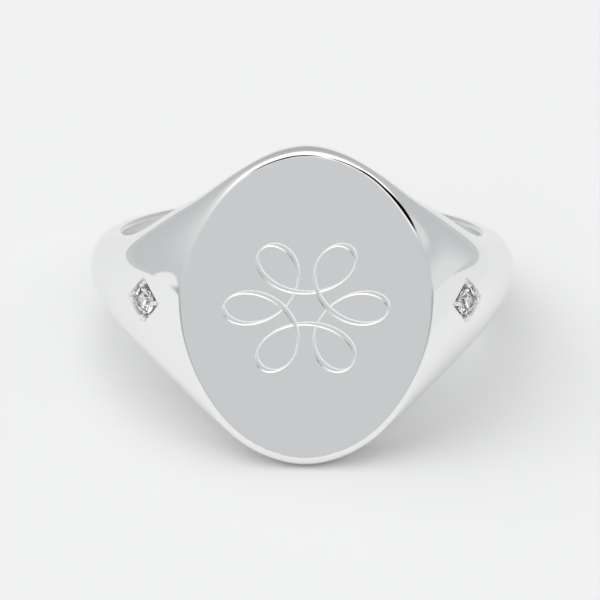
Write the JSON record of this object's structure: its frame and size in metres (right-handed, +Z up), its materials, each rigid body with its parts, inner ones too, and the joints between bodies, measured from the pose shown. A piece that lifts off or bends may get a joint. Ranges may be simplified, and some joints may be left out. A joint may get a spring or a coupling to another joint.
{
  "type": "signet ring",
  "caption": "Oval signet ring: polished cast hoop with broad tapering shoulders, a flat oval face, and a round stone grain-set in a lozenge on each shoulder.",
  "frame": {"origin": "bottom centre of the bounding box, in the pose in which the ring lies on a table: the lower rim of the face and the back of the hoop touch z = 0", "axes": "+Z up from the table, the oval face looks towards -Y and a little up, +X towards the shoulder on the right; the finger axis leans 18.72 degrees from +Z towards +Y"},
  "size_m": [0.0194, 0.0212, 0.014],
  "materials": {
    "polished_metal": "mirror-polished white metal, such as sterling silver",
    "clear_stone": "colourless round brilliant, polished facets"
  },
  "bodies": {
    "root": {"ring_body": "polished_metal", "stone_left": "clear_stone", "stone_right": "clear_stone"}
  },
  "joints": []
}
